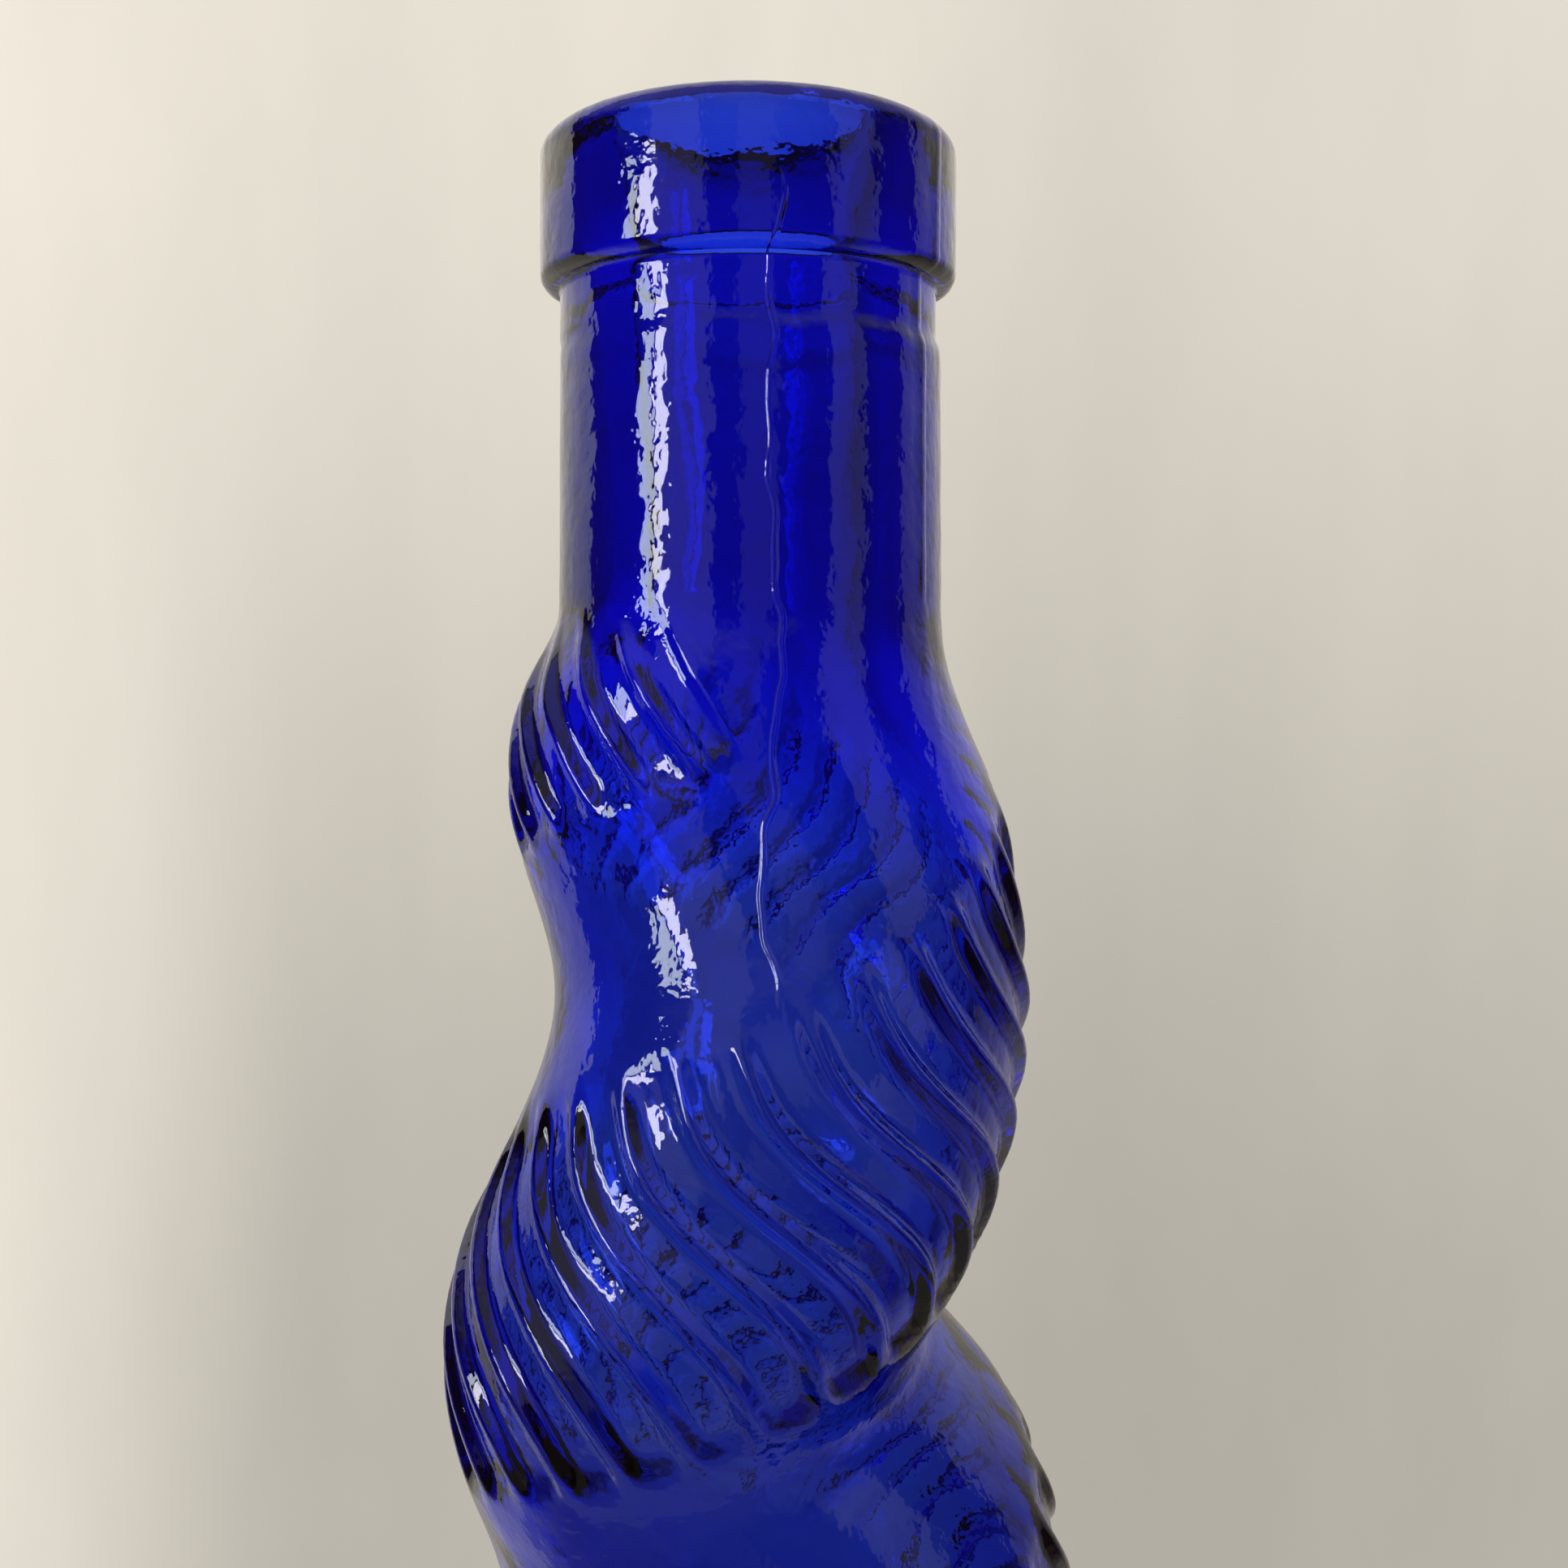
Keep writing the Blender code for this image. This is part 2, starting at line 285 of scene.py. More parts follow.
class MouldMarks(bpy.types.PropertyGroup):
    """What the mould and the blowing leave on the glass."""

    seam_azimuth: turn("Seam azimuth", -31.5, "Where one of the two upright mould seams runs")
    seam_height: length("Seam height", 0.16 * MM, "How far the seams stand out")
    seam_width: length("Seam width", 1.3 * MM, "Width of the seams")
    seam_end: length("Seam end", 60.0 * MM, "Depth at which the seams have faded out")
    ring_depth: length("Ring depth", 16.5 * MM, "Depth of the line where neck ring and mould met")
    ring_step: length("Ring step", 0.2 * MM, "How much narrower the neck is above that line")
    ring_shift: length("Ring shift", 0.2 * MM, "How far the neck ring sat to the left of the mould")
    ring_groove: length("Ring groove", 0.1 * MM, "Depth of the groove along that line")
    ring_width: length("Ring width", 0.9 * MM, "Width of the groove along that line")
    ring_wave: length("Ring wave", 1.2 * MM, "How far the line wanders up and down")
    flow_azimuth: turn("Flow azimuth", -84.0, "Where an upright flow line runs down the glass")
    flow_from: length("Flow from", 6.0 * MM, "Depth at which the flow line starts")
    flow_to: length("Flow to", 68.0 * MM, "Depth at which the flow line ends")
    flow_height: length("Flow height", 0.13 * MM, "How far the flow line stands out")
    flow_width: length("Flow width", 0.65 * MM, "Width of the flow line")
    inner_waves: length("Inner waves", 1.0 * MM, "Unevenness of the inner wall, which no mould touched")
    outer_waves: length("Outer waves", 0.12 * MM, "Unevenness of the outer wall")


class GlassColours(bpy.types.PropertyGroup):
    """Colours of the glass and the studio."""

    glass: FloatVectorProperty(name="Glass", default=(0.0, 0.28, 0.922, 1.0), subtype="COLOR", size=4,
                               min=0.0, max=1.0, description="Light that the glass lets through")
    wall: tint("Wall", "#D8D2C6", "Painted wall behind the bottle")
    shade: tint("Shade", "#45302E", "Warm dark parts of the room, which show only in the glass")
    floor: tint("Floor", "#C2BDB4", "Table top")


def smooth_step(x):
    """0 below 0, 1 above 1, and an even S between."""
    x = min(1.0, max(0.0, x))
    return x * x * (3 - 2 * x)


def slope_at(points, i):
    """Slope of the curve through the points at point i: level at a peak, so nothing overshoots."""
    if i in (0, len(points) - 1):
        return 0.0
    (xa, ya), (xb, yb), (xc, yc) = points[i - 1:i + 2]
    before = (yb - ya) / (xb - xa)
    after = (yc - yb) / (xc - xb)
    if before * after <= 0:
        return 0.0
    return 2 * before * after / (before + after)


def smooth_through(points, x):
    """Height at x of the smooth curve through (x, y) points."""
    i = 0
    while i < len(points) - 2 and x > points[i + 1][0]:
        i += 1
    (xa, ya), (xb, yb) = points[i:i + 2]
    span = xb - xa
    t = min(1.0, max(0.0, (x - xa) / span))
    rise = yb - ya
    start = slope_at(points, i) * span
    end = slope_at(points, i + 1) * span
    return ya + t * (start + t * (3 * rise - 2 * start - end + t * (start + end - 2 * rise)))


def station_value(sizes, depth, column):
    """Value of one column of BODY_STATIONS at a depth."""
    points = [(station[0], station[column]) for station in BODY_STATIONS]
    body_length = HEIGHT - sizes.heel_round - sizes.neck_end
    return smooth_through(points, (depth - sizes.neck_end) / body_length)


def mean_radius(sizes, depth):
    """Radius of the body at a depth, halfway between the band and the valley."""
    top = sizes.neck_radius + sizes.neck_draft
    return top + (FOOT_RADIUS - top) * station_value(sizes, depth, 1)


def wall_at(sizes, depth):
    """Glass thickness at a depth."""
    neck_wall = sizes.neck_radius + sizes.neck_draft - sizes.bore_radius
    thinned = smooth_step((depth - sizes.neck_end) / sizes.shoulder)
    return neck_wall + (sizes.body_wall - neck_wall) * thinned


def arc(centre_radius, centre_depth, radius, from_degrees, to_degrees):
    """Points (radius, depth) round a corner. Angle 0 points outwards and 90 points up."""
    points = []
    for i in range(ARC_STEPS + 1):
        angle = math.radians(from_degrees + (to_degrees - from_degrees) * i / ARC_STEPS)
        outwards = centre_radius + radius * math.cos(angle)
        down = centre_depth - radius * math.sin(angle)
        points.append((outwards, down))
    return points


def dome(sizes, edge_radius, edge_depth, steps):
    """Points (radius, depth) of a floor that rises by the push-up, from inside its edge to the axis."""
    shares = [1 - (i + 1) / steps for i in range(steps)]
    return [(edge_radius * s, edge_depth - sizes.push_up * (1 - s * s)) for s in shares]


def depths_between(start, end, step):
    """Depths of the rows of a stretch, both ends included, about a step apart."""
    count = max(1, round((end - start) / step))
    return [start + (end - start) * i / count for i in range(count + 1)]


def outer_profile(sizes):
    """Half outline (radius, depth) of the outside, from the mouth's edge over the lip to the base."""
    s = sizes
    lip_bottom = s.lip_height - s.lip_bottom_round
    bearing_inner = FOOT_RADIUS - s.heel_round - s.bearing_width
    heel = HEIGHT - s.heel_round
    edge_radius = s.mouth_radius + s.mouth_flare + s.mouth_round
    profile = arc(edge_radius, s.mouth_round, s.mouth_round, 180, 90)
    profile += arc(s.lip_radius - s.lip_top_round, s.lip_top_round, s.lip_top_round, 90, 0)
    profile += arc(s.lip_radius - s.lip_bottom_round, lip_bottom, s.lip_bottom_round, 0, -90)
    for depth in depths_between(s.lip_height, s.neck_end, NECK_ROW_STEP)[:-1]:
        along = (depth - s.lip_height) / (s.neck_end - s.lip_height)
        profile.append((s.neck_radius + s.neck_draft * along, depth))
    profile += [(mean_radius(s, d), d) for d in depths_between(s.neck_end, heel, BODY_ROW_STEP)]
    profile += arc(FOOT_RADIUS - s.heel_round, heel, s.heel_round, 0, -90)[1:]
    profile.append((bearing_inner, HEIGHT))
    profile += dome(s, bearing_inner, HEIGHT, BASE_STEPS)
    return profile


def inner_profile(sizes):
    """Half outline (radius, depth) of the hollow, from the mouth down to the floor's middle."""
    s = sizes
    floor_edge = FOOT_RADIUS - s.body_wall - s.inner_heel_round
    last_row = HEIGHT - s.base_thickness - s.inner_heel_round
    profile = []
    first_row = s.mouth_round * FIRST_INNER_ROW
    for depth in depths_between(first_row, s.flare_depth, FLARE_ROW_STEP)[:-1]:
        profile.append((s.mouth_radius + s.mouth_flare * (1 - depth / s.flare_depth), depth))
    for depth in depths_between(s.flare_depth, s.bore_taper, INNER_ROW_STEP)[:-1]:
        along = (depth - s.flare_depth) / (s.bore_taper - s.flare_depth)
        profile.append((s.mouth_radius + (s.bore_radius - s.mouth_radius) * along, depth))
    for depth in depths_between(s.bore_taper, s.neck_end, INNER_ROW_STEP)[:-1]:
        profile.append((s.bore_radius, depth))
    for depth in depths_between(s.neck_end, last_row, INNER_ROW_STEP):
        profile.append((mean_radius(s, depth) - wall_at(s, depth), depth))
    profile += arc(floor_edge, last_row, s.inner_heel_round, 0, -90)[1:]
    profile += dome(s, floor_edge, HEIGHT - s.base_thickness, FLOOR_STEPS)
    return profile


def column_angles(rib_count):
    """Azimuths of the outer wall's columns, which stand closer together at the ribs."""
    spacing = 2 * math.pi / rib_count
    angles = []
    for i in range(rib_count * COLUMNS_EACH_RIB):
        turns = i / COLUMNS_EACH_RIB
        crowded = turns - RIB_CROWDING * math.sin(2 * math.pi * turns) / (2 * math.pi)
        angles.append(spacing * crowded)
    return angles


def add_rings(shape, layers, profile, angles, inner, sizes):
    """Rings of a profile in a bmesh, with faces between them. Gives back the first ring's edges."""
    rings = []
    columns = len(angles)
    for radius, depth in profile:
        count = columns if radius > AXIS_REACH else 1
        ring = []
        for angle in angles[:count]:
            spot = (radius * math.cos(angle), radius * math.sin(angle), HEIGHT - depth)
            vertex = shape.verts.new(spot)
            vertex[layers["throw_share"]] = station_value(sizes, depth, 2)
            vertex[layers["inner"]] = inner
            ring.append(vertex)
        rings.append(ring)
    for upper, lower in zip(rings, rings[1:]):
        for i in range(columns):
            j = (i + 1) % columns
            if len(lower) == 1:
                corners = [upper[i], lower[0], upper[j]]
            else:
                corners = [upper[i], lower[i], lower[j], upper[j]]
            if inner:
                corners.reverse()
            shape.faces.new(corners)
    return [shape.edges.get((rings[0][i], rings[0][(i + 1) % columns])) for i in range(columns)]


def turned_blank(sizes, rib_count):
    """The blank before it is wound up: closed glass with its hollow, turned about Z."""
    shape = bmesh.new()
    layers = {name: shape.verts.layers.float.new(name) for name in ("throw_share", "inner")}
    inner_angles = [2 * math.pi * i / INNER_COLUMNS for i in range(INNER_COLUMNS)]
    outer_rim = add_rings(shape, layers, outer_profile(sizes), column_angles(rib_count), 0.0, sizes)
    inner_rim = add_rings(shape, layers, inner_profile(sizes), inner_angles, 1.0, sizes)
    bmesh.ops.bridge_loops(shape, edges=outer_rim + inner_rim)
    bmesh.ops.recalc_face_normals(shape, faces=shape.faces)
    mesh = bpy.data.meshes.new("blank")
    shape.to_mesh(mesh)
    shape.free()
    return mesh


def add(tree, kind, inputs=(), output=0, **settings):
    """Adds a node with its settings, links or sets its inputs, and gives back one of its outputs.
    The inputs are a tuple in their order, or a dict by name or number."""
    node = tree.nodes.new(kind)
    for name, value in settings.items():
        setattr(node, name, value)
    pairs = inputs.items() if isinstance(inputs, dict) else enumerate(inputs)
    for key, value in pairs:
        if isinstance(value, bpy.types.NodeSocket):
            tree.links.new(value, node.inputs[key])
        else:
            node.inputs[key].default_value = value
    return node.outputs[output]


def maths(tree, operation, *values):
    """Adds a maths node and gives back its result."""
    return add(tree, "ShaderNodeMath", values, operation=operation)


def ramp(tree, value, start, end, low=0.0, high=1.0):
    """Nodes that take a value's range smoothly to another."""
    return add(tree, "ShaderNodeMapRange", {
        "Value": value, "From Min": start, "From Max": end, "To Min": low, "To Max": high},
        interpolation_type="SMOOTHSTEP")


def bump_along(tree, distance, width):
    """Nodes of a smooth bump that is 1 where the distance is 0 and ends half a width from there."""
    away = maths(tree, "ABSOLUTE", distance)
    half = maths(tree, "MULTIPLY", width, 0.5)
    return ramp(tree, away, 0.0, half, 1.0, 0.0)


def noise_at(tree, spot, waves, detail):
    """Nodes of a smooth noise between 0 and 1."""
    return add(tree, "ShaderNodeTexNoise", {"Vector": spot, "Scale": waves, "Detail": detail})


def uneven(tree, spot, waves, detail=1.0):
    """Nodes of a smooth noise about 0."""
    return maths(tree, "SUBTRACT", noise_at(tree, spot, waves, detail), 0.5)


def split(tree, spot):
    """The X, Y and Z of a point or a direction."""
    parts = tree.nodes.new("ShaderNodeSeparateXYZ")
    tree.links.new(spot, parts.inputs[0])
    return parts.outputs


def place_of(tree, spot):
    """Nodes of where a point lies: the point, the point at height 0, its height, its radius and its
    azimuth."""
    x, y, z = split(tree, spot)
    level = add(tree, "ShaderNodeVectorMath", (spot, (1.0, 1.0, 0.0)), operation="MULTIPLY")
    radius = add(tree, "ShaderNodeVectorMath", (level,), output=1, operation="LENGTH")
    azimuth = maths(tree, "ARCTAN2", y, x)
    return SimpleNamespace(spot=spot, level=level, z=z, radius=radius, azimuth=azimuth)


# Numbers that the winding takes, and what each of them is
TREE_INPUTS = (
    ("Height", "DISTANCE"), ("Neck End", "DISTANCE"), ("Heel Depth", "DISTANCE"),
    ("Pitch", "DISTANCE"), ("Band Azimuth", "ANGLE"), ("Band Width Share", "FACTOR"),
    ("Band Throw", "DISTANCE"), ("Crest Flatness", "FACTOR"), ("Lead-in Angle", "ANGLE"),
    ("Lead-in From", "DISTANCE"), ("Lead-in To", "DISTANCE"), ("Lead-in Shift", "ANGLE"),
    ("Late Start", "ANGLE"), ("Late Start Length", "DISTANCE"), ("Rib Count", "NONE"),
    ("Rib Azimuth", "ANGLE"), ("Rib Turn", "ANGLE"), ("Rib Bow", "ANGLE"), ("Rib Lean", "ANGLE"),
    ("Flute Depth", "DISTANCE"), ("Flute Share", "FACTOR"), ("Flute Slope", "FACTOR"),
    ("Flute End", "ANGLE"), ("Flute Rise", "ANGLE"), ("Flute Fall", "ANGLE"),
    ("Fade", "DISTANCE"), ("Plain Foot", "DISTANCE"), ("Seam Azimuth", "ANGLE"),
    ("Seam Height", "DISTANCE"), ("Seam Width", "DISTANCE"), ("Seam End", "DISTANCE"),
    ("Ring Depth", "DISTANCE"), ("Ring Groove", "DISTANCE"), ("Ring Width", "DISTANCE"),
    ("Ring Wave", "DISTANCE"), ("Ring Step", "DISTANCE"), ("Ring Shift", "DISTANCE"),
    ("Inner Waves", "DISTANCE"), ("Outer Waves", "DISTANCE"),
)


def wind_up(tree, given, place):
    """Nodes of where a point comes to lie: its azimuth, how far round it is from the band's middle,
    how far it is past the neck, and how settled the band is there, with half its extra angle."""
    body_depth = add(tree, "ShaderNodeClamp", (place.depth, given["Neck End"], given["Heel Depth"]))
    past_neck = maths(tree, "SUBTRACT", body_depth, given["Neck End"])
    turns = maths(tree, "DIVIDE", past_neck, given["Pitch"])
    azimuth = maths(tree, "MULTIPLY_ADD", turns, given["Rib Turn"], given["Rib Azimuth"])
    azimuth = maths(tree, "ADD", azimuth, place.azimuth)

    lead_in = (given["Lead-in From"], given["Lead-in To"])
    settled = ramp(tree, past_neck, *lead_in)
    lead = ramp(tree, past_neck, *lead_in, given["Lead-in Angle"], 0.0)
    half_lead = maths(tree, "MULTIPLY", lead, 0.5)
    to_crest = maths(tree, "MULTIPLY_ADD", turns, 2 * math.pi, half_lead)
    to_crest = maths(tree, "SUBTRACT", to_crest, given["Band Azimuth"])

    # Ribs that snake across the band, which the columns of the outer wall follow
    straight = maths(tree, "ADD", to_crest, azimuth)
    lean = maths(tree, "SINE", straight)
    lean = maths(tree, "MULTIPLY", lean, given["Rib Lean"])
    bow = maths(tree, "MULTIPLY", straight, 2.0)
    bow = maths(tree, "SINE", bow)
    bow = maths(tree, "MULTIPLY", bow, given["Rib Bow"])
    bow = maths(tree, "MULTIPLY", bow, settled)
    azimuth = maths(tree, "ADD", azimuth, bow)
    azimuth = maths(tree, "SUBTRACT", azimuth, lean)
    across = maths(tree, "ADD", to_crest, azimuth)
    across = maths(tree, "WRAP", across, math.pi, -math.pi)
    return SimpleNamespace(azimuth=azimuth, across=across, past_neck=past_neck, settled=settled,
                           half_lead=half_lead)


def band_swell(tree, given, wound):
    """Nodes of how far the band stands out of the mean radius, and the valley in."""
    crest = maths(tree, "COSINE", wound.across)
    flat = maths(tree, "MULTIPLY", wound.across, 2.0)
    flat = maths(tree, "COSINE", flat)
    flat = maths(tree, "MULTIPLY", flat, given["Crest Flatness"])
    wave = maths(tree, "SUBTRACT", crest, flat)
    throw = add(tree, "GeometryNodeInputNamedAttribute", {"Name": "throw_share"}, data_type="FLOAT")
    throw = maths(tree, "MULTIPLY", throw, given["Band Throw"])
    return maths(tree, "MULTIPLY", wave, throw)


def flute_hollow(tree, given, place, wound):
    """Nodes of how deep the flutes are pressed. Their round ends are worked out in units of a rib's
    spacing: sideways from a flute's middle, and along the flute from where it ends."""
    half_band = maths(tree, "MULTIPLY_ADD", given["Band Width Share"], math.pi, wound.half_lead)
    shift = maths(tree, "SUBTRACT", 1.0, wound.settled)
    shift = maths(tree, "MULTIPLY", shift, given["Lead-in Shift"])
    from_middle = maths(tree, "SUBTRACT", wound.across, shift)
    from_top = maths(tree, "ADD", from_middle, half_band)
    late = add(tree, "ShaderNodeMapRange", {
        "Value": wound.past_neck, "From Max": given["Late Start Length"],
        "To Min": given["Late Start"], "To Max": 0.0})
    from_bottom = maths(tree, "SUBTRACT", half_band, from_middle)
    from_bottom = maths(tree, "SUBTRACT", from_bottom, late)
    from_edge = maths(tree, "MINIMUM", from_top, from_bottom)

    along = maths(tree, "DIVIDE", from_edge, given["Flute End"])
    sideways = maths(tree, "MULTIPLY", place.azimuth, given["Rib Count"])
    sideways = maths(tree, "DIVIDE", sideways, 2 * math.pi)
    sideways = maths(tree, "WRAP", sideways, 1.0, 0.0)
    sideways = maths(tree, "SUBTRACT", sideways, 0.5)
    half_flute = maths(tree, "MULTIPLY", given["Flute Share"], 0.5)
    into_end = maths(tree, "SUBTRACT", half_flute, along)
    into_end = maths(tree, "MAXIMUM", into_end, 0.0)
    reach = add(tree, "ShaderNodeCombineXYZ", (sideways, into_end, 0.0))
    reach = add(tree, "ShaderNodeVectorMath", (reach,), output=1, operation="LENGTH")
    inside = maths(tree, "DIVIDE", reach, half_flute)
    inside = maths(tree, "SUBTRACT", 1.0, inside)
    hollow = ramp(tree, inside, 0.0, given["Flute Slope"])

    to_plain_foot = maths(tree, "SUBTRACT", given["Heel Depth"], given["Plain Foot"])
    to_plain_foot = maths(tree, "SUBTRACT", to_plain_foot, place.depth)
    from_neck = maths(tree, "SUBTRACT", place.depth, given["Neck End"])
    from_body_end = maths(tree, "MINIMUM", to_plain_foot, from_neck)
    rise = ramp(tree, from_top, 0.0, given["Flute Rise"])
    fall = ramp(tree, from_bottom, 0.0, given["Flute Fall"])
    fade = ramp(tree, from_body_end, 0.0, given["Fade"])
    for factor in (rise, fall, fade, place.outer, given["Flute Depth"]):
        hollow = maths(tree, "MULTIPLY", hollow, factor)
    return hollow


def mould_marks(tree, given, place, azimuth):
    """Nodes of the mould seams, the line round the neck and the uneven walls. Gives back how far they
    stand out, and a value that is 1 above the line round the neck and 0 under it."""
    to_seam = maths(tree, "SUBTRACT", azimuth, given["Seam Azimuth"])
    to_seam = maths(tree, "SINE", to_seam)
    to_seam = maths(tree, "MULTIPLY", to_seam, place.radius)
    seam = bump_along(tree, to_seam, given["Seam Width"])
    seam_fade = ramp(tree, place.depth, given["Neck End"], given["Seam End"], 1.0, 0.0)
    seam = maths(tree, "MULTIPLY", seam, seam_fade)
    seam = maths(tree, "MULTIPLY", seam, given["Seam Height"])

    line_depth = uneven(tree, place.level, RING_WAVES)
    line_depth = maths(tree, "MULTIPLY_ADD", line_depth, given["Ring Wave"], given["Ring Depth"])
    to_ring = maths(tree, "SUBTRACT", place.depth, line_depth)
    ring = bump_along(tree, to_ring, given["Ring Width"])
    ring = maths(tree, "MULTIPLY", ring, given["Ring Groove"])
    above_ring = ramp(tree, to_ring, *STEP_END, 1.0, 0.0)
    under_lip = ramp(tree, place.depth, *STEP_START)
    step = maths(tree, "MULTIPLY", above_ring, under_lip)
    ring = maths(tree, "MULTIPLY_ADD", step, given["Ring Step"], ring)
    marks = maths(tree, "SUBTRACT", seam, ring)

    outer_waves = uneven(tree, place.spot, OUTER_WAVES)
    marks = maths(tree, "MULTIPLY_ADD", outer_waves, given["Outer Waves"], marks)
    marks = maths(tree, "MULTIPLY", marks, place.outer)
    inner_waves = uneven(tree, place.spot, INNER_WAVES)
    inner_waves = maths(tree, "MULTIPLY", inner_waves, given["Inner Waves"])
    inner_waves = maths(tree, "MULTIPLY", inner_waves, place.inner)
    marks = maths(tree, "ADD", marks, inner_waves)
    from_top = ramp(tree, place.depth, 0.0, MARKS_FROM_TOP)
    from_foot = ramp(tree, place.z, *MARKS_FROM_FOOT)
    marks = maths(tree, "MULTIPLY", marks, from_top)
    marks = maths(tree, "MULTIPLY", marks, from_foot)
    return marks, above_ring


def winding_tree():
    """Geometry Nodes that wind a turned blank up: rings turn with depth, the band swells out of the
    mean radius, and flutes with round ends are pressed across the band."""
    tree = bpy.data.node_groups.new("wind_up_band", "GeometryNodeTree")
    tree.interface.new_socket("Blank", in_out="INPUT", socket_type="NodeSocketGeometry")
    for name, subtype in TREE_INPUTS:
        socket = tree.interface.new_socket(name, in_out="INPUT", socket_type="NodeSocketFloat")
        socket.subtype = subtype
    tree.interface.new_socket("Glass", in_out="INPUT", socket_type="NodeSocketMaterial")
    tree.interface.new_socket("Bottle", in_out="OUTPUT", socket_type="NodeSocketGeometry")
    given = tree.nodes.new("NodeGroupInput").outputs

    place = place_of(tree, add(tree, "GeometryNodeInputPosition"))
    place.depth = maths(tree, "SUBTRACT", given["Height"], place.z)
    place.inner = add(tree, "GeometryNodeInputNamedAttribute", {"Name": "inner"}, data_type="FLOAT")
    place.outer = maths(tree, "SUBTRACT", 1.0, place.inner)
    wound = wind_up(tree, given, place)
    marks, above_ring = mould_marks(tree, given, place, wound.azimuth)
    radius = maths(tree, "ADD", place.radius, band_swell(tree, given, wound))
    radius = maths(tree, "SUBTRACT", radius, flute_hollow(tree, given, place, wound))
    radius = maths(tree, "ADD", radius, marks)
    off_axis = maths(tree, "GREATER_THAN", place.radius, AXIS_REACH)
    radius = maths(tree, "MULTIPLY", radius, off_axis)

    x = maths(tree, "COSINE", wound.azimuth)
    x = maths(tree, "MULTIPLY", radius, x)
    ring_shift = maths(tree, "MULTIPLY", above_ring, given["Ring Shift"])
    x = maths(tree, "SUBTRACT", x, ring_shift)
    y = maths(tree, "SINE", wound.azimuth)
    y = maths(tree, "MULTIPLY", radius, y)
    spot = add(tree, "ShaderNodeCombineXYZ", (x, y, place.z))
    body = add(tree, "GeometryNodeSetPosition", {"Geometry": given["Blank"], "Position": spot})
    body = add(tree, "GeometryNodeSetShadeSmooth", {"Geometry": body})
    body = add(tree, "GeometryNodeRealizeInstances", {"Geometry": body})
    body = add(tree, "GeometryNodeSetMaterial", {"Geometry": body, "Material": given["Glass"]})
    finish = tree.nodes.new("NodeGroupOutput")
    tree.links.new(body, finish.inputs["Bottle"])
    return tree


def cobalt_glass(marks, colours):
    """Soda-lime glass coloured through with cobalt, blown into a mould and fire-polished: a wet
    gloss over faint ripples, nearly clear where thin and deep blue where thick. The inner wall,
    which no mould touched, has no ripples."""
    material = bpy.data.materials.new("cobalt_glass")
    material.use_nodes = True
    tree = material.node_tree
    tree.nodes.clear()
    place = place_of(tree, add(tree, "ShaderNodeTexCoord", output="Object"))
    inner = add(tree, "ShaderNodeAttribute", output="Fac", attribute_name="inner")
    outer = maths(tree, "SUBTRACT", 1.0, inner)
    ripple = noise_at(tree, place.spot, RIPPLE_WAVES, RIPPLE_DETAIL)
    ripple = maths(tree, "MULTIPLY", ripple, outer)
    bump = add(tree, "ShaderNodeBump", {
        "Height": ripple, "Strength": 1.0, "Distance": RIPPLE_HEIGHT}, output="Normal")

    # A thread of glass that ran down one side
    sway = uneven(tree, place.spot, FLOW_WAVES, FLOW_DETAIL)
    to_flow = maths(tree, "SUBTRACT", place.azimuth, marks.flow_azimuth)
    to_flow = maths(tree, "MULTIPLY_ADD", sway, FLOW_SWAY, to_flow)
    to_flow = maths(tree, "MULTIPLY", to_flow, place.radius)
    flow = bump_along(tree, to_flow, marks.flow_width)
    depth = maths(tree, "SUBTRACT", HEIGHT, place.z)
    begun = ramp(tree, depth, marks.flow_from, marks.flow_from + FLOW_FADE)
    not_ended = ramp(tree, depth, marks.flow_to, marks.flow_to - FLOW_FADE)
    for factor in (outer, begun, not_ended):
        flow = maths(tree, "MULTIPLY", flow, factor)
    bump = add(tree, "ShaderNodeBump", {
        "Height": flow, "Strength": 1.0, "Distance": marks.flow_height, "Normal": bump}, output="Normal")

    surface = add(tree, "ShaderNodeBsdfPrincipled", {
        "Base Color": linear("#FFFFFF"), "Roughness": GLASS_ROUGHNESS, "IOR": GLASS_IOR,
        "Transmission Weight": 1.0, "Normal": bump})
    depth_colour = add(tree, "ShaderNodeVolumeAbsorption", {
        "Color": colours.glass, "Density": GLASS_DENSITY})
    output = tree.nodes.new("ShaderNodeOutputMaterial")
    tree.links.new(surface, output.inputs["Surface"])
    tree.links.new(depth_colour, output.inputs["Volume"])
    return material


def set_inputs(modifier, values):
    """Sets a Geometry Nodes modifier's inputs by name, through their identifiers."""
    for item in modifier.node_group.interface.items_tree:
        if item.item_type == "SOCKET" and item.in_out == "INPUT" and item.name in values:
            modifier[item.identifier] = values[item.name]


